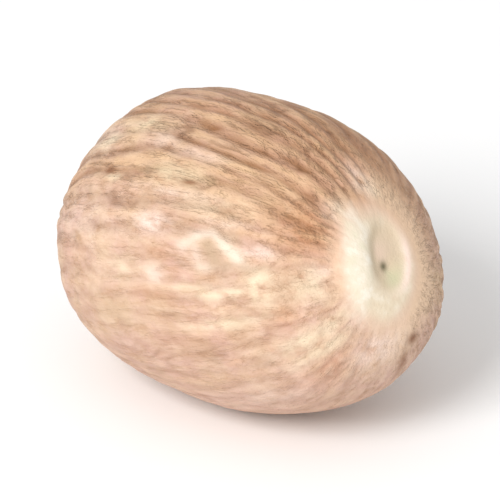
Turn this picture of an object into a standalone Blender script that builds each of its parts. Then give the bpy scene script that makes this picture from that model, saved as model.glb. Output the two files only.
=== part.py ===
"""A whole nutmeg, shelled, dried and lying on its side: one solid seed with its long axis along X.

The seed is a sphere drawn out into an ovoid. Two soft shoulders and a flattened end make it uneven,
and a low relief lies on it: wavy furrows that run from end to end, the hilum at the +X end, where the
seed hung in its fruit, the chalaza at the other end, and the raphe, the groove that joins the two.
It rests on a small flat spot, with the origin under the middle of its bounding box. Metres, +Z up.
"""

import itertools
import math

import bmesh
import bpy
import numpy as np

# Size of the seed before its relief, in metres, and how far its hilum end is lifted
LENGTH = 0.0264
WIDTH = 0.0190
HEIGHT = 0.0185
LEAN = math.radians(3)
REST_SPOT_DEPTH = 0.00026  # taken off the underside, which leaves a flat spot about 4 mm by 6 mm

# Places on the seed, as azimuth and elevation in degrees seen from its middle; (0, 0) is the +X end
HILUM_AT = (-2, 22)
CHALAZA_AT = (178, -22)
FAR_SHOULDER_AT = (-126, -17)
TOP_SHOULDER_AT = (170, 54)
SMOOTH_SIDE_AT = (-70, -30)
UNDERSIDE_AT = (0, -90)

# Uneven form: how far each place stands out, in metres, and how far round it that fades, in degrees
FAR_SHOULDER = (0.00090, 24)
TOP_SHOULDER = (0.00048, 16)
HILUM_FLAT = (-0.00075, 23)
DENTS = (0.0055, 23)  # size of one, and their seed
DENT_DEPTH = 0.00010

# Furrows: a wave round the seed that drifts sideways and fades in and out along it, in metres
FURROW_COUNT = 38
FURROW_START = math.radians(115)
FURROW_DEPTH = 0.00012
FURROW_DRIFTS = (  # how far they wander, in spacings, over what size round the seed and along it, and a seed
    (0.9, (0.0050, 0.0110), 623),
    (0.3, (0.0026, 0.0065), 35),
    (0.2, (0.0015, 0.0032), 403),
)
FAINT_SIZE = (0.0015, 0.0060)
FAINT_SEED = 485
FAINT_EDGE = (-0.1, 0.25)  # where in the swing of the noise they turn faint, and how softly
FAINT_SHARE = 0.5  # how much of their depth they lose there
SMOOTH_SHARE = 0.75  # and how much on the smooth side
SMOOTH_EDGE = (70, 14)  # how far round that side reaches and how softly it ends, in degrees

# Folds: wider, softer furrows that part and meet again
FOLD_SIZE = (0.0019, 0.0065)
FOLD_SEED = 581
FOLD_DEPTH = 0.00007
FOLD_WIDTH = 0.34  # share of the swing of the noise that a fold takes up
SWAY = 0.0007
SWAY_SIZE = 0.0045
SWAY_SEED = 11

# Hilum, in degrees from its middle across to -Y and along upwards: an oval scar that leans to +Y at its
# top, a sunken oval basin with a pit, and a raised crescent beside the basin. Each edge is a pair: how
# many half sizes out from the oval's middle it lies, and over how many it fades
HILUM_TILT = math.radians(22)
SCAR_MIDDLE = (1.7, -0.5)
SCAR_HALF = (16.5, 22.5)
SCAR_EDGE = (1.2, 0.2)
COLLAR_SHARE = 0.8  # how much of their depth the furrows lose on the smooth collar round the +Y side
COLLAR_EDGE = (2.4, 0.35)
COLLAR_SIDE = (-5, 5)  # degrees across where the collar ends, and how softly
BASIN_MIDDLE = (-1.5, 4.5)
BASIN_HALF = (8.0, 13.3)
BASIN_DEPTH = 0.00030
BASIN_WALL = (1.0, 0.3)
CRESCENT_MIDDLE = (12.2, 0.6)
CRESCENT_HALF = (5.2, 17.5)
CRESCENT_HEIGHT = 0.00012
CRESCENT_EDGE = (0.95, 0.4)
CRESCENT_BRINK = (1.05, 0.14)  # where it ends at the basin
PIT_MIDDLE = (-1.0, 0.0)
PIT_SPREAD = 2.6
PIT_DEPTH = 0.00015

# Chalaza, a dimple, and raphe, a groove down the -Y side, in degrees and metres
CHALAZA_SPREAD = 8
CHALAZA_DEPTH = 0.00045
CALM_SPREADS = ((CHALAZA_AT, 20), (UNDERSIDE_AT, 12))  # how far round each place the furrows fade in
RAPHE_SIDE = 77  # degrees round the hilum from the top, towards -Y
RAPHE_SPREAD = 5
RAPHE_DEPTH = 0.00016
RAPHE_END = (150, 12)  # degrees from the hilum where it ends, and how softly

SEGMENTS = 152  # round the seed, four to a furrow
RINGS = 39  # from hilum to far end, along the furrows
CROWDING = 0.25  # how much closer the rings lie at the hilum than halfway
NOISE_BLOCK = 32
SKIN_COLOUR = (0.58, 0.38, 0.24, 1.0)
SKIN_ROUGHNESS = 0.62


def direction(place):
    """Unit vector towards a place given as azimuth and elevation in degrees."""
    azimuth, elevation = np.radians(place)
    return np.array([
        math.cos(elevation) * math.cos(azimuth),
        math.cos(elevation) * math.sin(azimuth),
        math.sin(elevation),
    ])


def hilum_axes():
    """Three unit vectors as columns: up the seed from the hilum, across it to -Y, and out of it."""
    out = direction(HILUM_AT)
    up = np.array([0, 0, 1]) - out[2] * out
    up /= np.linalg.norm(up)
    return np.column_stack([up, np.cross(out, up), out])


def degrees_from(spots, place):
    """Angle between each unit vector and a place, in degrees."""
    return np.degrees(np.arccos(np.clip(spots @ direction(place), -1, 1)))


def bell(distance, spread):
    """A smooth hump: 1 at no distance, 0.6 at one spread and nearly 0 at three."""
    return np.exp(-0.5 * (distance / spread) ** 2)


def inside(distance, edge, softness):
    """1 well inside the edge and 0 well outside it, smooth over the softness."""
    return 0.5 - 0.5 * np.tanh((distance - edge) / softness)


def from_oval(across, along, middle, half):
    """Distance from the middle of an oval: 1 on its edge."""
    return np.hypot((across - middle[0]) / half[0], (along - middle[1]) / half[1])


def gradient_noise(points, seed):
    """Smooth noise between about -1 and 1: a random slope at each whole-numbered place, blended between."""
    slopes = np.random.default_rng(seed).normal(size=(NOISE_BLOCK,) * 3 + (3,))
    slopes /= np.linalg.norm(slopes, axis=-1, keepdims=True)
    cell = np.floor(points).astype(int)
    offset = points - cell
    blend = offset**3 * (offset * (offset * 6 - 15) + 10)
    total = np.zeros(len(points))
    for corner in itertools.product((0, 1), repeat=3):
        slope = slopes[tuple(((cell + corner) % NOISE_BLOCK).T)]
        weight = np.where(corner, blend, 1 - blend).prod(axis=1)
        total += weight * ((offset - corner) * slope).sum(axis=1)
    return total * 1.5


def furrows(spots, local, bearing):
    """Depth of the furrows and folds, in metres, where the skin is neither smooth nor scarred."""
    radius = (LENGTH + WIDTH) / 4
    from_axis = np.hypot(local[:, 0], local[:, 1])
    along = np.arctan2(from_axis, local[:, 2]) * radius
    around = local[:, :2] / np.sqrt(np.maximum(from_axis, 1e-6))[:, None] * radius
    around += SWAY * gradient_noise(spots * radius / SWAY_SIZE, SWAY_SEED)[:, None]

    def lengthwise(size, seed):
        """Noise whose blotches have one size round the seed and another along it."""
        return gradient_noise(np.column_stack([around / size[0], along / size[1]]), seed)

    drift = sum(share * lengthwise(size, seed) for share, size, seed in FURROW_DRIFTS)
    wave = (0.5 + 0.5 * np.cos(FURROW_COUNT * bearing - FURROW_START + 2 * math.pi * drift)) ** 2
    wave *= 1 - FAINT_SHARE * inside(lengthwise(FAINT_SIZE, FAINT_SEED), *FAINT_EDGE)
    fold = np.exp(-((lengthwise(FOLD_SIZE, FOLD_SEED) / FOLD_WIDTH) ** 2))
    return FURROW_DEPTH * wave + FOLD_DEPTH * fold


def hilum_relief(across, along):
    """Height of the hilum's crescent, basin and pit, at places given in degrees on its tilted oval."""
    basin = from_oval(across, along, BASIN_MIDDLE, BASIN_HALF)
    crescent = from_oval(across, along, CRESCENT_MIDDLE, CRESCENT_HALF)
    height = CRESCENT_HEIGHT * inside(crescent, *CRESCENT_EDGE) * (1 - inside(basin, *CRESCENT_BRINK))
    height -= BASIN_DEPTH * inside(basin, *BASIN_WALL)
    height -= PIT_DEPTH * bell(np.hypot(across - PIT_MIDDLE[0], along - PIT_MIDDLE[1]), PIT_SPREAD)
    return height


def relief(spots):
    """Height of the surface above the smooth form, in metres, at each unit vector from the middle."""
    local = spots @ hilum_axes()
    from_hilum = np.degrees(np.arccos(np.clip(local[:, 2], -1, 1)))
    bearing = np.arctan2(local[:, 1], local[:, 0])
    across = from_hilum * np.sin(bearing + HILUM_TILT)
    along = from_hilum * np.cos(bearing + HILUM_TILT)
    scar = from_oval(across, along, SCAR_MIDDLE, SCAR_HALF)
    rough = 1 - inside(scar, *SCAR_EDGE)
    collar = inside(scar, *COLLAR_EDGE) * inside(across, *COLLAR_SIDE)
    grooved = rough * (1 - COLLAR_SHARE * collar)
    grooved *= 1 - SMOOTH_SHARE * inside(degrees_from(spots, SMOOTH_SIDE_AT), *SMOOTH_EDGE)
    for place, spread in CALM_SPREADS:
        grooved *= 1 - bell(degrees_from(spots, place), spread)
    height = -grooved * furrows(spots, local, bearing)
    height += DENT_DEPTH * rough * gradient_noise(spots * LENGTH / 2 / DENTS[0], DENTS[1])
    height += hilum_relief(across, along)
    height -= CHALAZA_DEPTH * bell(degrees_from(spots, CHALAZA_AT), CHALAZA_SPREAD)
    off_raphe = (np.degrees(bearing) - RAPHE_SIDE + 180) % 360 - 180
    groove = bell(off_raphe * np.sin(np.radians(from_hilum)), RAPHE_SPREAD)
    height -= RAPHE_DEPTH * groove * rough * inside(from_hilum, *RAPHE_END)
    return height


def seed_points(spots):
    """Surface point, in metres, for each unit vector from the middle: the ovoid, moved out by the heights."""
    half = np.array([LENGTH, WIDTH, HEIGHT]) / 2
    outward = spots / half
    outward /= np.linalg.norm(outward, axis=1, keepdims=True)
    height = relief(spots)
    for place, (stand_out, spread) in (
        (FAR_SHOULDER_AT, FAR_SHOULDER),
        (TOP_SHOULDER_AT, TOP_SHOULDER),
        (HILUM_AT, HILUM_FLAT),
    ):
        height += stand_out * bell(degrees_from(spots, place), spread)
    points = spots * half + outward * height[:, None]
    lift = np.array([
        [math.cos(LEAN), 0, math.sin(LEAN)],
        [0, 1, 0],
        [-math.sin(LEAN), 0, math.cos(LEAN)],
    ])
    return points @ lift


def set_down(points):
    """The points with the rest spot cut flat at the bottom, and the middle of their box over the origin."""
    points = points.copy()
    floor = points[:, 2].min() + REST_SPOT_DEPTH
    points[:, 2] = np.maximum(points[:, 2], floor) - floor
    points[:, :2] -= (points[:, :2].min(axis=0) + points[:, :2].max(axis=0)) / 2
    return points


def skin():
    """Dry brown seed skin."""
    material = bpy.data.materials.new("skin")
    material.use_nodes = True
    shader = material.node_tree.nodes["Principled BSDF"]
    shader.inputs["Base Color"].default_value = SKIN_COLOUR
    shader.inputs["Roughness"].default_value = SKIN_ROUGHNESS
    return material


def nutmeg():
    """The seed: a sphere with one pole at the hilum, whose vertices are moved out to the surface."""
    form = bmesh.new()
    bmesh.ops.create_uvsphere(form, u_segments=SEGMENTS, v_segments=RINGS, radius=1)
    mesh = bpy.data.meshes.new("nutmeg")
    form.to_mesh(mesh)
    form.free()
    sphere = np.empty(len(mesh.vertices) * 3)
    mesh.vertices.foreach_get("co", sphere)
    sphere = sphere.reshape(-1, 3)
    from_pole = np.arccos(np.clip(sphere[:, 2], -1, 1))
    bearing = np.arctan2(sphere[:, 1], sphere[:, 0])
    from_pole -= CROWDING * np.sin(from_pole)
    local = np.column_stack([
        np.sin(from_pole) * np.cos(bearing),
        np.sin(from_pole) * np.sin(bearing),
        np.cos(from_pole),
    ])
    points = set_down(seed_points(local @ hilum_axes().T))
    mesh.vertices.foreach_set("co", points.ravel())
    mesh.shade_smooth()
    mesh.materials.append(skin())
    return bpy.data.objects.new("nutmeg", mesh)


for old in list(bpy.data.objects):
    bpy.data.objects.remove(old)
collection = bpy.data.collections.new("whole_nutmeg")
bpy.context.scene.collection.children.link(collection)
collection.objects.link(nutmeg())
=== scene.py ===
"""A whole nutmeg, shelled and dried, lying on its side on a pale floor. Metres, +Z up.

The solid gives the seed's place and size. This script rebuilds its skin over the same form with finer
relief, lays the marks that the skin shows over it, and makes its material, the floor, light and camera.
"""

import itertools
import math

import bpy
import numpy as np
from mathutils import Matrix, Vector


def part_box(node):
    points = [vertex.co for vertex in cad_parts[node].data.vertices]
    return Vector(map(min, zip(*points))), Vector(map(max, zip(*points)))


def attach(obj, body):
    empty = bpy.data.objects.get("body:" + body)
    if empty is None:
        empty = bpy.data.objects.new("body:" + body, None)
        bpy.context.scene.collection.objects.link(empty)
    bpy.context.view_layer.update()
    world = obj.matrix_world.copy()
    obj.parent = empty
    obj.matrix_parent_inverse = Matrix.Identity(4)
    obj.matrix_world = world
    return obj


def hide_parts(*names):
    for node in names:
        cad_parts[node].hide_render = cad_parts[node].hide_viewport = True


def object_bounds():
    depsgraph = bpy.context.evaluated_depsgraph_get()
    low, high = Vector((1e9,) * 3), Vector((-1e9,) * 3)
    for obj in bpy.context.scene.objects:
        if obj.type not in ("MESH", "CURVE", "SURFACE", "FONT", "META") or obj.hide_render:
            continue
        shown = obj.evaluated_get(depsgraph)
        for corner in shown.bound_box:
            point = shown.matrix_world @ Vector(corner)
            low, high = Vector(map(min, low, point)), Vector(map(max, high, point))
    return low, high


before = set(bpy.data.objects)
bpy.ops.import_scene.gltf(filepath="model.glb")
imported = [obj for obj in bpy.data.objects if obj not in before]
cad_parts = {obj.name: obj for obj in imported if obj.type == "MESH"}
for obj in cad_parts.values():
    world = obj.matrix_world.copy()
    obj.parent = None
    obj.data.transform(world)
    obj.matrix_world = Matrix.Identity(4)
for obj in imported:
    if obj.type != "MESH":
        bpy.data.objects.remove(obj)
cad_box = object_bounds()


# The seed's body is one hard kernel, dried in its shell until it rattles and then cracked out.
# It is an uneven ovoid: two soft shoulders stand out and the end that it hung from is flattened.
# Places on it are azimuth and elevation in degrees, seen from its middle; (0, 0) is the +X end.
MM = 0.001
LENGTH = 26.4 * MM
WIDTH = 19.0 * MM
HEIGHT = 18.5 * MM
LEAN = math.radians(3)
REST_SPOT_DEPTH = 0.26 * MM
HILUM_AT = (-2, 22)
SHOULDERS = (  # where, how far it stands out, and how many degrees round it that fades
    ((-126, -17), 0.90 * MM, 24),
    ((170, 54), 0.48 * MM, 16),
    (HILUM_AT, -0.75 * MM, 23),
)
RINGS = 240
SEGMENTS = 408
MEAN_RADIUS = (LENGTH + WIDTH) / 4


def direction(place):
    """Unit vector: cosine of elevation times cosine and sine of azimuth, and sine of elevation."""
    azimuth, elevation = np.radians(place)
    return np.array([
        math.cos(elevation) * math.cos(azimuth),
        math.cos(elevation) * math.sin(azimuth),
        math.sin(elevation),
    ])


# The grid has a row for each ring round the hilum and a column for each line from there to the far end
hilum_out = direction(HILUM_AT)
hilum_up = np.array([0, 0, 1]) - hilum_out[2] * hilum_out
hilum_up /= np.linalg.norm(hilum_up)
hilum_axes = np.column_stack([hilum_up, np.cross(hilum_out, hilum_up), hilum_out])
from_hilum = np.linspace(0, np.pi, RINGS + 1)[:, None] * np.ones(SEGMENTS)
bearing = np.linspace(0, 2 * np.pi, SEGMENTS, endpoint=False) * np.ones((RINGS + 1, 1))
local = np.stack([
    np.sin(from_hilum) * np.cos(bearing),
    np.sin(from_hilum) * np.sin(bearing),
    np.cos(from_hilum),
], axis=-1)
spots = local @ hilum_axes.T


# Furrows and ridges. Under the shell the seed was wrapped in a net of thick threads, which pressed
# wavy furrows into it from end to end. They are deep on top and faint low on the -Y side, where only
# a net of fine wrinkles is left. Sizes in pairs are round the seed and along it.
FURROW_COUNT = 38
FURROW_START = math.radians(115)
FURROW_DEPTH = 0.12 * MM
FURROW_DRIFTS = (  # how far they wander, in spacings, over what size, and its random seed
    (0.9, (5.0 * MM, 11.0 * MM), 623),
    (0.3, (2.6 * MM, 6.5 * MM), 35),
    (0.2, (1.5 * MM, 3.2 * MM), 403),
)
FAINT_SIZE = (1.5 * MM, 6.0 * MM)
FAINT_SEED = 485
FAINT_EDGE = (-0.1, 0.25)  # where in the swing of the noise they turn faint, and how softly
FAINT_SHARE = 0.5  # how much of their depth they lose there
FOLD_SIZE = (1.9 * MM, 6.5 * MM)
FOLD_SEED = 581
FOLD_WIDTH = 0.34  # share of the swing of the noise that a fold takes up
FOLD_DEPTH = 0.07 * MM
WRINKLE_SIZE = (0.6 * MM, 2.2 * MM)
WRINKLE_SEED = 72
WRINKLE_WIDTH = 0.3
WRINKLE_DEPTH = 0.03 * MM
NET_SIZE = (0.9 * MM, 1.6 * MM)
NET_SEED = 73
NET_WIDTH = 0.25
SWAY = 0.7 * MM
SWAY_SIZE = 4.5 * MM
SWAY_SEED = 11
SMOOTH_SIDE_AT = (-70, -30)
SMOOTH_EDGE = (70, 14)  # how far round that side reaches and how softly it ends, in degrees
SMOOTH_SHARE = 0.75
NOISE_BLOCK = 32
NOISE_STRETCH = 1.5  # brings the noise to between about -1 and 1
LEAST_FROM_AXIS = 1e-6  # keeps the two ends of the grid from a division by nothing


def degrees_from(place):
    """Angle between every spot of the grid and a place: the arc cosine of their dot product."""
    return np.degrees(np.arccos(np.clip(spots @ direction(place), -1, 1)))


def inside(distance, edge, softness):
    """Half of one minus the hyperbolic tangent of the distance past the edge, over the softness."""
    return 0.5 - 0.5 * np.tanh((distance - edge) / softness)


def gradient_noise(points, random_seed):
    """At each whole-numbered place a random slope, and between them the blend of the eight nearest.

    The blend weights are 6t^5 - 15t^4 + 10t^3 of the way t along each axis.
    """
    slopes = np.random.default_rng(random_seed).normal(size=(NOISE_BLOCK,) * 3 + (3,))
    slopes /= np.linalg.norm(slopes, axis=-1, keepdims=True)
    cell = np.floor(points).astype(int)
    offset = points - cell
    blend = offset**3 * (offset * (offset * 6 - 15) + 10)
    total = np.zeros(points.shape[:-1])
    for corner in itertools.product((0, 1), repeat=3):
        near = (cell + corner) % NOISE_BLOCK
        slope = slopes[near[..., 0], near[..., 1], near[..., 2]]
        weight = np.where(corner, blend, 1 - blend).prod(axis=-1)
        total += weight * ((offset - corner) * slope).sum(axis=-1)
    return total * NOISE_STRETCH


def lengthwise(size):
    """Grid coordinates in units of one size round the seed and another along it, swayed sideways."""
    around = local[..., :2] / np.sqrt(np.maximum(np.sin(from_hilum), LEAST_FROM_AXIS))[..., None]
    return np.concatenate([
        (around * MEAN_RADIUS + sway[..., None]) / size[0],
        from_hilum[..., None] * (MEAN_RADIUS / size[1]),
    ], axis=-1)


def drawn_out_noise(size, random_seed):
    """Gradient noise of the lengthwise coordinates, so that its blotches have one size and another."""
    return gradient_noise(lengthwise(size), random_seed)


def crossings(swing, width):
    """e to the minus square of a noise over a width: 1 along the lines where the noise changes sign."""
    return np.exp(-((swing / width) ** 2))


sway = SWAY * gradient_noise(spots * MEAN_RADIUS / SWAY_SIZE, SWAY_SEED)
drift = sum(share * drawn_out_noise(size, random_seed) for share, size, random_seed in FURROW_DRIFTS)
swing = 0.5 + 0.5 * np.cos(FURROW_COUNT * bearing - FURROW_START + 2 * np.pi * drift)
faint = 1 - FAINT_SHARE * inside(drawn_out_noise(FAINT_SIZE, FAINT_SEED), *FAINT_EDGE)
folds = crossings(drawn_out_noise(FOLD_SIZE, FOLD_SEED), FOLD_WIDTH)
wrinkles = crossings(drawn_out_noise(WRINKLE_SIZE, WRINKLE_SEED), WRINKLE_WIDTH)
net = crossings(drawn_out_noise(NET_SIZE, NET_SEED), NET_WIDTH)
grooved = 1 - SMOOTH_SHARE * inside(degrees_from(SMOOTH_SIDE_AT), *SMOOTH_EDGE)


# The hilum is the scar where the seed hung in its fruit: a pale egg-shaped patch with a raised white
# crescent on one side and a sunken oval basin, with a pit where the stalk's vessels went in.
# Degrees across it grow to -Y, and along it upwards.
HILUM_TILT = math.radians(22)
SCAR_MIDDLE = (1.7, -0.5)
SCAR_HALF = (16.5, 22.5)
SCAR_EDGE = (1.2, 0.2)  # half sizes out from the oval's middle, and over how many the edge fades
SCAR_WOBBLE = 0.06
COLLAR_EDGE = (2.4, 0.35)
COLLAR_SIDE = (-5, 5)  # degrees across where the collar ends, and how softly
COLLAR_SHARE = 0.8  # how much of their depth the furrows lose on it
BASIN_MIDDLE = (-1.5, 4.5)
BASIN_HALF = (8.0, 13.3)
BASIN_WALL = (1.0, 0.3)
BASIN_DEPTH = 0.30 * MM
BASIN_WOBBLE = 0.05
CRESCENT_MIDDLE = (12.2, 0.6)
CRESCENT_HALF = (5.2, 17.5)
CRESCENT_EDGE = (0.95, 0.4)
CRESCENT_BRINK = (1.05, 0.14)  # where it ends at the basin
CRESCENT_HEIGHT = 0.12 * MM
CRESCENT_WOBBLE = 0.12
PIT_MIDDLE = (-1.0, 0.0)
PIT_SPREAD = 2.6
PIT_DEPTH = 0.15 * MM
WOBBLE_SIZE = 2.2 * MM
WOBBLE_SEED = 31


def bell(distance, spread):
    """e to the power of minus half the square of distance over spread."""
    return np.exp(-0.5 * (distance / spread) ** 2)


def from_oval(middle, half):
    """Root of the sum of the squares of the degrees across and along from a middle, over half sizes."""
    return np.hypot((across - middle[0]) / half[0], (along - middle[1]) / half[1])


wobble = gradient_noise(spots * MEAN_RADIUS / WOBBLE_SIZE, WOBBLE_SEED)
across = np.degrees(from_hilum) * np.sin(bearing + HILUM_TILT)
along = np.degrees(from_hilum) * np.cos(bearing + HILUM_TILT)
scar = from_oval(SCAR_MIDDLE, SCAR_HALF) + SCAR_WOBBLE * wobble
basin = from_oval(BASIN_MIDDLE, BASIN_HALF) + BASIN_WOBBLE * wobble
crescent = inside(from_oval(CRESCENT_MIDDLE, CRESCENT_HALF) + CRESCENT_WOBBLE * wobble, *CRESCENT_EDGE)
crescent *= 1 - inside(basin, *CRESCENT_BRINK)
rough = 1 - inside(scar, *SCAR_EDGE)
collar = inside(across, *COLLAR_SIDE) * inside(scar, *COLLAR_EDGE)
hilum_height = CRESCENT_HEIGHT * crescent
hilum_height -= BASIN_DEPTH * inside(basin, *BASIN_WALL)
hilum_height -= PIT_DEPTH * bell(np.hypot(across - PIT_MIDDLE[0], along - PIT_MIDDLE[1]), PIT_SPREAD)


# The raphe is the strand that fed the seed from hilum to chalaza: a shallow groove down the -Y side.
# The chalaza is the small dimple where it ends, at the far pole.
RAPHE_SIDE = 77  # degrees round the hilum from the top, towards -Y
RAPHE_SPREAD = 5
RAPHE_END = (150, 12)  # degrees from the hilum where it ends, and how softly
RAPHE_DEPTH = 0.16 * MM
CHALAZA_AT = (178, -22)
CHALAZA_SPREAD = 8
CHALAZA_DEPTH = 0.45 * MM


def turned_from(side):
    """Degrees of bearing from a side to every spot, less whole turns, so between -180 and 180."""
    return (np.degrees(bearing) - side + 180) % 360 - 180


off_raphe = turned_from(RAPHE_SIDE) * np.sin(from_hilum)
raphe_height = -RAPHE_DEPTH * bell(off_raphe, RAPHE_SPREAD) * inside(np.degrees(from_hilum), *RAPHE_END)
chalaza_height = -CHALAZA_DEPTH * bell(degrees_from(CHALAZA_AT), CHALAZA_SPREAD)


# The skin is the seed's own coat, dried onto the kernel: all of this relief on the ovoid, one closed
# surface. It stands for the solid, so it is fitted to the solid's box, with the same small flat spot.
UNDERSIDE_AT = (0, -90)
CALM_SPREADS = ((CHALAZA_AT, 20), (UNDERSIDE_AT, 12))  # how far round each place the furrows fade in
FINE_EDGE = (1.35, 0.12)  # where fine wrinkles end at the scar
DENTS = (5.5 * MM, 23)  # size of one, and their random seed
DENT_DEPTH = 0.10 * MM

# What the furrows keep of their depth: nothing on the scar, little on its collar, and less round two places
even = rough * (1 - COLLAR_SHARE * collar)
for place, spread in CALM_SPREADS:
    even *= 1 - bell(degrees_from(place), spread)
height = -FURROW_DEPTH * even * grooved * faint * swing**2
height -= FOLD_DEPTH * even * grooved * folds
fine = even * (1 - inside(scar, *FINE_EDGE)) * (1 - collar)
height -= WRINKLE_DEPTH * fine * (grooved * wrinkles + (1 - grooved) * net)
height += DENT_DEPTH * rough * gradient_noise(spots * LENGTH / 2 / DENTS[0], DENTS[1])
height += hilum_height + raphe_height * rough + chalaza_height
for place, stand_out, spread in SHOULDERS:
    height += stand_out * bell(degrees_from(place), spread)

# The ovoid's points are moved out by the heights, leant, cut flat underneath and fitted to the solid's box
half = np.array([LENGTH, WIDTH, HEIGHT]) / 2
outward = spots / half
outward /= np.linalg.norm(outward, axis=-1, keepdims=True)
lift = np.array([
    [math.cos(LEAN), 0, math.sin(LEAN)],
    [0, 1, 0],
    [-math.sin(LEAN), 0, math.cos(LEAN)],
])
points = (spots * half + outward * height[..., None]) @ lift
floor_level = points[..., 2].min() + REST_SPOT_DEPTH
points[..., 2] = np.maximum(points[..., 2], floor_level)
low, high = points.min(axis=(0, 1)), points.max(axis=(0, 1))
solid_low, solid_high = (np.array(corner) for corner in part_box("nutmeg"))
points = solid_low + (points - low) * (solid_high - solid_low) / (high - low)


def by_vertex(grid):
    """A grid's values in the mesh's order: one for its first row, all between, and one for its last."""
    return np.concatenate([grid[:1, 0], grid[1:-1].reshape(-1, *grid.shape[2:]), grid[-1:, 0]])


def closed_surface(name, grid):
    """A mesh of quads between the rows of a grid, whose first and last rows are one point each."""
    rows, columns = grid.shape[:2]
    vertices = by_vertex(grid)
    number = 1 + np.arange((rows - 2) * columns).reshape(rows - 2, columns)
    beside = np.roll(number, -1, axis=1)
    quads = np.stack([number[:-1], number[1:], beside[1:], beside[:-1]], axis=-1).reshape(-1, 4)
    first = np.stack([np.zeros(columns, int), number[0], beside[0]], axis=-1)
    last = np.stack([np.full(columns, len(vertices) - 1), beside[-1], number[-1]], axis=-1)
    mesh = bpy.data.meshes.new(name)
    mesh.from_pydata(vertices, [], first.tolist() + quads.tolist() + last.tolist())
    mesh.shade_smooth()
    made = bpy.data.objects.new(name, mesh)
    bpy.context.scene.collection.objects.link(made)
    return made


seed = closed_surface("nutmeg_skin", points)
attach(seed, "root")
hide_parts("nutmeg")


# Rubbed and weathered patches, left where the skin lost its outer layer or kept a chalky bloom, and small
# pits. A row is a stroke: its place, its half length along the seed and half width across it in degrees,
# and its strength. Places are read off the photograph to the nearest degree or so.
STROKE_WOBBLE = 1.5
BLOOM = (
    ((-93, 33), 4, 2.5, 1.1), ((-92, 46), 7, 1.6, 0.5), ((-120, 61), 5, 3, 0.5), ((-90, 64), 6, 1.8, 0.5),
    ((-52, 32), 4, 1.8, 0.8), ((-87, 15), 2.5, 3, 0.7), ((-12, -6), 8, 6.5, 1.0), ((13, 50), 6, 3, 0.8),
    ((-118, 20), 12, 9, 0.35), ((-29, 26), 4, 3, 0.6), ((-48, -30), 14, 5, 0.4), ((-62, 41), 5, 1.3, 0.5),
    ((-14, 44), 4, 2.5, 0.8),
)
CREAM = (
    ((-52, 20), 3, 4.6, 1.0), ((-63, 15.5), 7, 1.3, 0.85), ((-76, 14), 7, 1.2, 0.6), ((-97, 12), 4, 4, 0.5),
    ((-95, 53), 6, 3.5, 0.6), ((-145, 57), 5, 3, 0.6), ((-29, 7), 7, 2.2, 0.9), ((-40, -1), 7, 2.2, 0.8),
    ((-64, 3), 10, 1.5, 0.7), ((-35, 21), 6, 5, 0.7), ((-10, 45), 3, 3, 0.9), ((-69, 46), 6, 3, 0.5),
    ((14, 44), 5, 4, 0.8), ((-33, -4), 10, 2.2, 0.7), ((-121, 39.5), 1.8, 1.2, 0.9),
)
RUDDY = (
    ((-30, 42), 8, 9, 1.2), ((-86, 24), 3, 2.5, 0.6), ((-86, 9), 5, 2, 0.6), ((-66, 45), 5, 1.6, 0.5),
    ((-160, 76), 6, 3, 0.7), ((-45, 10), 3.5, 3, 0.9), ((-33, -15), 9, 4, 1.0), ((-38, 33), 7, 3, 0.5),
    ((-124, 7), 6, 5, 0.4), ((-75, -6), 12, 4, 0.3),
)
GOLDEN = (
    ((-95, 53), 8, 4, 1.0), ((-145, 57), 7, 5, 0.9), ((-112, 46), 7, 3, 0.6), ((-128, 30), 9, 5, 0.5),
    ((-70, 54), 10, 3, 0.6), ((-50, 52), 8, 2.5, 0.5), ((-101, -5), 10, 5, 0.5), ((-75, -28), 10, 4, 0.4),
    ((-60, 62), 12, 3, 0.5), ((-107, 14), 6, 5, 0.4), ((24, 4), 6, 4, 0.9),
)
GREY = (
    ((-89, 42), 8, 1.5, 0.8), ((-60, 25.5), 6.5, 1.4, 1.0), ((-65, 19), 3, 2, 0.8), ((-56, 9), 6, 2, 0.4),
    ((-63, 36), 2.5, 1.6, 0.8), ((-101, -5), 9, 5, 0.5), ((-23, 35), 1.2, 4, 0.6), ((-80, 35), 4, 2, 0.6),
)
PITS = (
    ((-126, 40), 1.6, 1.1, 1.3), ((-86, 51.5), 1.6, 0.9, 1.2),
    ((3, -10), 2.3, 2.0, 1.2), ((1, -22), 5.0, 1.5, 0.9),
)
UNSEEN_AZIMUTHS = (60, 215)
UNSEEN_ELEVATIONS = (-50, 50)
UNSEEN_NARROWING = 2  # its width is a second draw from the range of its length, over this
UNSEEN_STRENGTHS = (0.4, 0.9)


def stroke(place, length, width):
    """A bell of the degrees along the seed times a bell of those across it, both bent by the wobble."""
    at = direction(place) @ hilum_axes
    ahead = np.degrees(from_hilum - math.acos(at[2])) + STROKE_WOBBLE * wobble
    aside = turned_from(math.degrees(math.atan2(at[1], at[0]))) * math.hypot(at[0], at[1]) + wobble
    return bell(ahead, length) * bell(aside, width)


def strokes(rows):
    """The highest of several strokes, each times its own strength."""
    marks = [strength * stroke(place, length, width) for place, length, width, strength in rows]
    return np.max(marks, axis=0)


def scattered(count, sizes, random_seed):
    """Strokes at random places on the side that faces away from the photograph."""
    draw = np.random.default_rng(random_seed).uniform
    return tuple((
        (draw(*UNSEEN_AZIMUTHS), draw(*UNSEEN_ELEVATIONS)),
        draw(*sizes),
        draw(*sizes) / UNSEEN_NARROWING,
        draw(*UNSEEN_STRENGTHS),
    ) for _ in range(count))


def mark(piece, name, values):
    """Stores one number, or three, for each vertex of a closed surface, for its material to read."""
    kind, field = ("FLOAT", "value") if values.ndim == 2 else ("FLOAT_VECTOR", "vector")
    piece.data.attributes.new(name, kind, "POINT").data.foreach_set(field, by_vertex(values).ravel())


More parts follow.
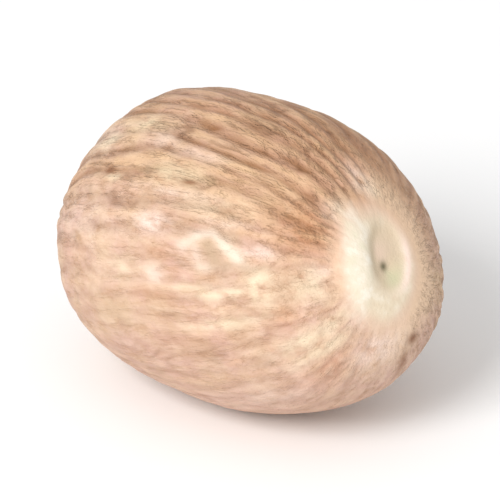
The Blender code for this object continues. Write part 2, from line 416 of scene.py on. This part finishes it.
for name, seen, unseen_count, unseen_sizes, random_seed, share in (
    ("bloom", BLOOM, 12, (4, 10), 101, rough),
    ("cream", CREAM, 12, (3, 9), 102, rough),
    ("ruddy", RUDDY, 10, (5, 12), 103, rough),
    ("golden", GOLDEN, 12, (5, 12), 106, rough),
    ("grey", GREY, 10, (3, 8), 104, rough),
    ("pit", PITS, 4, (0.8, 1.4), 105, 1),
):
    mark(seed, name, strokes(seen + scattered(unseen_count, unseen_sizes, random_seed)) * share)


# Broad tints: the skin dried browner on top of the hilum end, darker beside that towards +Y, and pinkish
# low down on the smooth side. The darker part is partly duskier skin and partly a painted shadow of a
# neighbouring nutmeg, which is not in this scene. Each is a bell round a place, over so many degrees.
for name, place, spread in (
    ("browned", (2, 60), 36),
    # partly duskier skin, partly a painted shadow of a neighbouring nutmeg
    ("dusky_skin_and_neighbour_shadow", (42, 50), 22),
    ("blush", (-55, -48), 34),
):
    mark(seed, name, bell(degrees_from(place), spread))


# A pale chevron beside the raphe, where a standing wrinkle was rubbed bare, with a grey hollow in it.
# Its lines are given in degrees from its middle: away from the hilum, and round the seed.
CHEVRON_AT = (60, 67.5)  # degrees from the hilum, and round it from the top
CHEVRON_WOBBLE = (0.9, 0.5)
CHEVRON_LINES = (  # start, end, width and strength
    ((8.5, -1.0), (3.9, -4.6), 1.5, 0.7),
    ((3.9, -4.6), (-1.1, -6.4), 1.4, 0.9),
    ((-1.1, -6.4), (-4.0, -2.8), 1.4, 0.9),
    ((-4.0, -2.8), (-7.6, 1.8), 1.8, 1.0),
    ((3.2, 5.4), (1.6, 5.6), 1.4, 0.7),
    ((4.6, -2.0), (3.2, 5.0), 1.4, 0.5),
)
HOLLOW_LINE = ((0.4, -2.2), (-1.2, 3.4), 1.7)

off_chevron = (np.degrees(bearing) - CHEVRON_AT[1]) * math.sin(math.radians(CHEVRON_AT[0]))
chevron_place = np.stack([
    np.degrees(from_hilum) - CHEVRON_AT[0] + CHEVRON_WOBBLE[0] * wobble,
    off_chevron + CHEVRON_WOBBLE[1] * wobble,
], axis=-1)


def line_mark(start, end, width):
    """A bell of the distance to the line from start to end: the offset less its share along the line."""
    run = np.subtract(end, start)
    share = np.clip((chevron_place - start) @ run / (run @ run), 0, 1)
    return bell(np.linalg.norm(chevron_place - start - share[..., None] * run, axis=-1), width)


chevron = [strength * line_mark(start, end, width) for start, end, width, strength in CHEVRON_LINES]
mark(seed, "chevron", np.max(chevron, axis=0))
mark(seed, "hollow", line_mark(*HOLLOW_LINE))


# Furrow colours: the skin is darker down in the furrows and paler on the ridges. Part of that is its own
# colour and part is painted light: painted shade in the furrows, folds and wrinkles and a painted highlight
# on the ridges, both stronger in random patches. There are short dark dashes too. All of it stops at the
# bare scar.
BARE_EDGE = (1.2, 0.10)
RAGGED_SIZE = (0.5 * MM, 1.3 * MM)
RAGGED_SEED = 91
RAGGED_SHARE = 0.35
CONTRAST_PATCH_SIZE = (2.4 * MM, 4.2 * MM)
CONTRAST_PATCH_SEED = 92
CONTRAST_PATCH_EDGE = (0.12, 0.25)
FURROW_SHADE = (0.35, 0.95)  # how dark a furrow is painted, its own colour and painted shade, outside and inside the stronger patches
FURROW_SHARPNESS = 2.2
FOLD_SHADE = 0.25
WRINKLE_SHADE = 0.20
NET_SHADE = 0.30
SMOOTH_FURROW_SHADE = 0.10
RIDGE_SHADE = (0.3, 1.0)
RIDGE_SHARPNESS = 1.6
DASH_SIZE = (0.9 * MM, 3.0 * MM)
DASH_SEED = 93
DASH_WIDTH = 0.13
DASH_SHADE = (0.3, 1.0)  # on the smooth side and on the furrowed one
GAP_SIZE = (1.6 * MM, 2.0 * MM)
GAP_SEED = 94
GAP_EDGE = (-0.22, 0.08)
CREASED_SHARE = (0.4, 1.0)  # on the smooth side and on the furrowed one


def between(ends, share):
    """The first end, plus the share of the way to the second."""
    return ends[0] + (ends[1] - ends[0]) * share


covered = 1 - inside(scar, *BARE_EDGE)
contrast_patches = inside(drawn_out_noise(CONTRAST_PATCH_SIZE, CONTRAST_PATCH_SEED), *CONTRAST_PATCH_EDGE)
band = np.clip(swing + RAGGED_SHARE * drawn_out_noise(RAGGED_SIZE, RAGGED_SEED), 0, 1)
dashes = crossings(drawn_out_noise(DASH_SIZE, DASH_SEED), DASH_WIDTH)
dashes *= inside(drawn_out_noise(GAP_SIZE, GAP_SEED), *GAP_EDGE)
# Painted shade in the furrows, folds and wrinkles and a painted highlight on the ridges, each partly the
# skin's own colour
furrow_tone_and_shade = between(FURROW_SHADE, contrast_patches) * faint * band**FURROW_SHARPNESS
furrow_tone_and_shade += FOLD_SHADE * folds + WRINKLE_SHADE * wrinkles
smooth_side_tone_and_shade = NET_SHADE * net + SMOOTH_FURROW_SHADE * band
ridge_tone_and_highlight = between(RIDGE_SHADE, contrast_patches) * (1 - band) ** RIDGE_SHARPNESS
mark(seed, "furrow_tone_and_shade", covered * even * (grooved * furrow_tone_and_shade + (1 - grooved) * smooth_side_tone_and_shade))
mark(seed, "ridge_tone_and_highlight", covered * even * grooved * ridge_tone_and_highlight)
mark(seed, "dashes", covered * even * between(DASH_SHADE, grooved) * dashes)
mark(seed, "wrinkled", covered * between(CREASED_SHARE, grooved))


# Hilum colours. The scar is bare tissue, cream with a beige basin, whose floor has a greenish and a
# flushed part and the vessels' dark dot. Inside the basin's wall on the crescent's side runs a grey line of
# painted shadow, where the rim shades the wall; on the basin's other side a pink rim with a tan collar
# beyond it, and past the crescent an orange halo.
BASIN_SOFTNESS = 0.14
DOT_MIDDLE = (0, 1)
DOT_SPREAD = 1.35
DOT_WOBBLE = 0.6

for name, distance, edge, softness in (
    ("scar_edge", scar, 1.04, 0.10),
    ("scar", scar, 0.88, 0.10),
    ("basin", basin, 1.0, BASIN_SOFTNESS),
):
    mark(seed, name, inside(distance, edge, softness))
mark(seed, "crescent", crescent)
for name, place, length, width, edge in (
    ("greenish", (0, 17), 4, 3.5, 1.0),
    ("flush", (-1, 28), 3.5, 3, 0.9),
):
    mark(seed, name, stroke(place, length, width) * inside(basin, edge, BASIN_SOFTNESS))
for name, distance, middle, spread, limits in (  # a limit is a distance, its edge and its softness
    ("halo", across, 20.5, 2.5, ((np.abs(along + 1), 11, 4),)),
    ("rim", basin, 1.22, 0.13, ((across, 0, 4), (-along, 8, 4), (along, 11, 3))),
    # a painted shadow along the inside of the basin's wall, on the crescent's side
    ("basin_wall_shadow", basin, 0.88, 0.12, ((-across, -1, 3), (-along, 4, 3))),
    ("collar", scar, 1.25, 0.35, ((across, -2, 6),)),
):
    kept = np.prod([inside(*limit) for limit in limits], axis=0)
    mark(seed, name, bell(distance - middle, spread) * kept)
off_dot = np.hypot(across - DOT_MIDDLE[0] + DOT_WOBBLE * wobble, along - DOT_MIDDLE[1])
mark(seed, "dot", bell(off_dot, DOT_SPREAD))


# Dry seed skin: a thin woody coat, dried onto the kernel and rubbed by handling. It is matt and light
# brown, with fine streaks and creases that run along the seed, and flecks that stretch the same way.
# Real grit is finer than would show here, so the specks are drawn as coarse as 0.16 mm.
GRAIN_SIZE = (1 * MM, 5 * MM)
BLOTCH_SIZE = 2.2 * MM
FLECK_SIZE = 0.8 * MM
FLECK_STRETCH = (0.5, 1.0, 1.0)
SPECK_SIZE = 0.16 * MM
STREAKS_PER_GRAIN = 1.6  # each about 0.6 mm wide and 3 mm long
FIBRES_PER_GRAIN = 4.5  # each about 0.2 mm wide and 1 mm long
CREASES_PER_GRAIN = 2.0  # about 0.5 mm apart and 2.5 mm long
FINE_CREASE_SIZE = 0.6 * MM
CREASE_DETAIL = 3.0
CREASE_ROUGHNESS = 0.6
NOISE_MIDDLE = 0.5
CREASE_WIDTH = 0.07  # how far off its middle value the noise still makes a crease
CREASE_FADE = (0.40, 0.58)  # values of the streaks where the creases have faded out and are full
BASE_SPREAD = (0.4, 0.6)  # values of the blotches where the second base colour begins and is full
BASE_COLOURS = ("#D3AE9F", "#D1B297")
BROKEN = (0.24, 0.54)  # values of the flecks between which a patch breaks up at its edge
PALE = (0.50, 0.66)  # values of the flecks where pale ones begin and are full on the bare scar
DARK = (0.48, 0.34)  # values of the flecks where dark ones begin and are full
SKIN_ROUGHNESS = (0.5, 0.72)
BUMP_HEIGHT = 0.11 * MM
BUMP_STRENGTH = (0.35, 1.0)


def linear(code):
    """sRGB hex to linear: ((value + 0.055) / 1.055) to the 2.4, or value / 12.92 when under 0.04045."""
    values = [int(code[i:i + 2], 16) / 255 for i in (1, 3, 5)]
    return [*(((v + 0.055) / 1.055) ** 2.4 if v > 0.04045 else v / 12.92 for v in values), 1]


def node(tree, kind, settings=None, links=None):
    """Adds a node, sets its properties and sockets by name, and links outputs to its inputs."""
    made = tree.nodes.new(kind)
    for name, value in (settings or {}).items():
        if isinstance(name, int) or name in made.inputs:
            made.inputs[name].default_value = value
        else:
            setattr(made, name, value)
    for name, output in (links or {}).items():
        tree.links.new(output, made.inputs[name])
    return made


mark(seed, "grain", lengthwise(GRAIN_SIZE))
skin = bpy.data.materials.new("dried_seed_skin")
skin.use_nodes = True
tree = skin.node_tree
shader = tree.nodes["Principled BSDF"]
plain = node(tree, "ShaderNodeTexCoord").outputs["Object"]
stretched = node(tree, "ShaderNodeMapping", {"Scale": FLECK_STRETCH}, {"Vector": plain}).outputs[0]
grain = node(tree, "ShaderNodeAttribute", {"attribute_name": "grain"}).outputs["Vector"]
creased = node(tree, "ShaderNodeAttribute", {"attribute_name": "wrinkled"}).outputs["Fac"]
patterns = {}
for name, vector, scale, detail, roughness in (
    ("blotches", plain, 1 / BLOTCH_SIZE, 4.0, 0.6),
    ("flecks", stretched, 1 / FLECK_SIZE, 3.0, 0.55),
    ("specks", plain, 1 / SPECK_SIZE, 2.0, 0.5),
    ("streaks", grain, STREAKS_PER_GRAIN, 4.0, 0.65),
    ("fibres", grain, FIBRES_PER_GRAIN, 2.0, 0.6),
):
    cloud = {"Scale": scale, "Detail": detail, "Roughness": roughness}
    patterns[name] = node(tree, "ShaderNodeTexNoise", cloud, {"Vector": vector}).outputs["Fac"]


def creases(vector, scale):
    """Soft lines where a noise passes its middle value: one less its distance from it over a small width.

    They are multiplied by the streaks, so that they fade in and out, and by the mark that leaves the scar
    bare.
    """
    cloud = {"Scale": scale, "Detail": CREASE_DETAIL, "Roughness": CREASE_ROUGHNESS}
    off = node(tree, "ShaderNodeTexNoise", cloud, {"Vector": vector}).outputs["Fac"]
    off = node(tree, "ShaderNodeMath", {"operation": "SUBTRACT", 1: NOISE_MIDDLE}, {0: off}).outputs[0]
    off = node(tree, "ShaderNodeMath", {"operation": "ABSOLUTE"}, {0: off}).outputs[0]
    near = {"interpolation_type": "SMOOTHSTEP", "From Min": CREASE_WIDTH, "From Max": 0.0}
    line = node(tree, "ShaderNodeMapRange", near, {"Value": off}).outputs[0]
    fade = {"From Min": CREASE_FADE[0], "From Max": CREASE_FADE[1]}
    patchy = node(tree, "ShaderNodeMapRange", fade, {"Value": patterns["streaks"]}).outputs[0]
    line = node(tree, "ShaderNodeMath", {"operation": "MULTIPLY"}, {0: line, 1: patchy}).outputs[0]
    return node(tree, "ShaderNodeMath", {"operation": "MULTIPLY"}, {0: line, 1: creased}).outputs[0]


patterns["long creases"] = creases(grain, CREASES_PER_GRAIN)
patterns["fine creases"] = creases(stretched, 1 / FINE_CREASE_SIZE)
base_ends = {"From Min": BASE_SPREAD[0], "From Max": BASE_SPREAD[1]}
base = node(tree, "ShaderNodeMapRange", base_ends, {"Value": patterns["blotches"]}).outputs[0]
base_pair = {"data_type": "RGBA", 6: linear(BASE_COLOURS[0]), 7: linear(BASE_COLOURS[1])}
colour = node(tree, "ShaderNodeMix", base_pair, {0: base}).outputs[2]

# Layers go on in turn: ruddy patches, grain, tints, furrows, other patches and last the scar. Each has a
# mark, or a pattern with the values where it begins and is full, or both, and a colour and its amount
for mark_name, pattern, ends, shade, amount in (
    ("ruddy", "flecks", BROKEN, "#BE7C54", 0.90),
    (None, "streaks", (0.50, 0.70), "#C4956E", 0.44),
    (None, "flecks", (0.50, 0.68), "#F0D5BC", 0.38),
    (None, "flecks", DARK, "#C79C7E", 0.28),
    (None, "fibres", (0.52, 0.75), "#A87850", 0.24),
    (None, "specks", (0.50, 0.75), "#B08460", 0.20),
    ("blush", None, None, "#D9B5A4", 0.46),
    ("browned", None, None, "#E2AC80", 0.38),
    # partly duskier skin, partly a painted shadow of a neighbouring nutmeg
    ("dusky_skin_and_neighbour_shadow", None, None, "#A46C3C", 0.62),
    (None, "long creases", (0, 1), "#8E6444", 0.36),
    (None, "fine creases", (0, 1), "#96694A", 0.30),
    # Paler ridges and darker furrows: partly their own colour, partly a painted highlight and painted shade
    ("ridge_tone_and_highlight", None, None, "#F0C79A", 0.55),
    ("furrow_tone_and_shade", None, None, "#96663F", 0.72),
    ("dashes", None, None, "#7E5638", 0.60),
    ("golden", "flecks", BROKEN, "#DFBE90", 0.48),
    ("halo", "flecks", BROKEN, "#E9C2A2", 0.75),
    ("grey", "flecks", BROKEN, "#C3A88F", 0.66),
    ("collar", None, None, "#EFCFAE", 0.75),
    ("bloom", "flecks", BROKEN, "#F8DFD2", 0.74),
    ("cream", "flecks", BROKEN, "#F3E2C2", 0.72),
    ("pit", None, None, "#8E5F3E", 0.80),
    ("chevron", None, None, "#F3E3D1", 0.66),
    ("hollow", None, None, "#BA9D80", 0.90),
    ("scar_edge", None, None, "#E3C7AF", 0.75),
    ("scar", None, None, "#E3D4B9", 0.90),
    ("scar", "flecks", PALE, "#F1E5D2", 0.55),
    ("scar", "flecks", DARK, "#D9C2A6", 0.45),
    ("basin", None, None, "#D6BFA2", 0.85),
    ("greenish", None, None, "#CBCAA4", 0.70),
    ("flush", None, None, "#E4C8B4", 0.60),
    ("rim", None, None, "#F8DDD0", 0.80),
    # painted shadow inside the basin's wall
    ("basin_wall_shadow", None, None, "#A99C80", 0.40),
    ("crescent", None, None, "#EDE2CE", 0.85),
    ("crescent", "flecks", PALE, "#F8F3E6", 0.60),
    ("crescent", "flecks", DARK, "#DAD5B8", 0.55),
    ("dot", None, None, "#5F5A3C", 0.92),
):
    factors = {}
    if mark_name:
        factors[0] = node(tree, "ShaderNodeAttribute", {"attribute_name": mark_name}).outputs["Fac"]
    if pattern:
        mapped = {"From Min": ends[0], "From Max": ends[1], "To Max": amount}
        factors[1] = node(tree, "ShaderNodeMapRange", mapped, {"Value": patterns[pattern]}).outputs[0]
    product = {"operation": "MULTIPLY", "use_clamp": True, 0: 1.0, 1: amount}
    share = node(tree, "ShaderNodeMath", product, factors).outputs[0]
    shaded = {"data_type": "RGBA", 7: linear(shade)}
    colour = node(tree, "ShaderNodeMix", shaded, {0: share, 6: colour}).outputs[2]
tree.links.new(colour, shader.inputs["Base Color"])

matt_ends = {"To Min": SKIN_ROUGHNESS[0], "To Max": SKIN_ROUGHNESS[1]}
matt = node(tree, "ShaderNodeMapRange", matt_ends, {"Value": patterns["streaks"]}).outputs[0]
tree.links.new(matt, shader.inputs["Roughness"])

# The streaks stand up with the specks on them, and the creases lie lower
grit = patterns["streaks"]
for pattern, amount in (("specks", 0.55), ("long creases", -0.5), ("fine creases", -0.4)):
    added = {"operation": "MULTIPLY_ADD", 1: amount}
    grit = node(tree, "ShaderNodeMath", added, {0: patterns[pattern], 2: grit}).outputs[0]
bump_ends = {"To Min": BUMP_STRENGTH[0], "To Max": BUMP_STRENGTH[1]}
bump_share = node(tree, "ShaderNodeMapRange", bump_ends, {"Value": creased}).outputs[0]
bump = node(tree, "ShaderNodeBump", {"Distance": BUMP_HEIGHT}, {"Height": grit, "Strength": bump_share})
tree.links.new(bump.outputs[0], shader.inputs["Normal"])
seed.data.materials.append(skin)


# The floor is a pale painted board, rolled with matt white paint, which hides any grain and gloss and
# only takes a soft shadow.
FLOOR_SIZE = 1.6
BOARD_COLOUR = "#FAFAFA"
BOARD_ROUGHNESS = 0.9

bpy.ops.mesh.primitive_plane_add(size=FLOOR_SIZE)
floor = bpy.context.object
floor.name = "floor"
board = bpy.data.materials.new("matt_white_board")
board.use_nodes = True
board.node_tree.nodes["Principled BSDF"].inputs["Base Color"].default_value = linear(BOARD_COLOUR)
board.node_tree.nodes["Principled BSDF"].inputs["Roughness"].default_value = BOARD_ROUGHNESS
floor.data.materials.append(board)


# Soft studio light: a white room, and one large softbox to the left of the camera and a little above
# it. Its place is an azimuth and an elevation in degrees, as for a camera view.
ROOM_COLOUR = "#FFFFFF"
ROOM_STRENGTH = 0.7
KEY_AT = (10, 40)
KEY_DISTANCE = 0.6
KEY_SIZE = 0.25
KEY_POWER = 2.6


def toward(azimuth, elevation):
    """Unit vector: sine and minus cosine of azimuth times cosine of elevation, and sine of elevation."""
    azimuth, elevation = math.radians(azimuth), math.radians(elevation)
    return Vector((
        math.sin(azimuth) * math.cos(elevation),
        -math.cos(azimuth) * math.cos(elevation),
        math.sin(elevation),
    ))


room = bpy.data.worlds.new("white_room")
room.use_nodes = True
room.node_tree.nodes["Background"].inputs["Color"].default_value = linear(ROOM_COLOUR)
room.node_tree.nodes["Background"].inputs["Strength"].default_value = ROOM_STRENGTH
bpy.context.scene.world = room
key = bpy.data.objects.new("key", bpy.data.lights.new("key", "AREA"))
key.data.shape = "SQUARE"
key.data.size = KEY_SIZE
key.data.energy = KEY_POWER
key.location = toward(*KEY_AT) * KEY_DISTANCE
key.rotation_euler = toward(*KEY_AT).to_track_quat("Z", "Y").to_euler()
bpy.context.scene.collection.objects.link(key)
bpy.context.scene.view_settings.view_transform = "Standard"


# The camera looks at the seed's middle from the photograph's side and height, far enough off that the
# seed is drawn nearly without perspective.
CAMERA_AT = (45, 30)
CAMERA_DISTANCE = 0.5
SHOWN_WIDTH = 30.1 * MM

camera = bpy.data.objects.new("camera", bpy.data.cameras.new("camera"))
camera.data.lens = camera.data.sensor_width * CAMERA_DISTANCE / SHOWN_WIDTH
camera.location = (cad_box[0] + cad_box[1]) / 2 + toward(*CAMERA_AT) * CAMERA_DISTANCE
camera.rotation_euler = toward(*CAMERA_AT).to_track_quat("Z", "Y").to_euler()
bpy.context.scene.collection.objects.link(camera)
bpy.context.scene.camera = camera
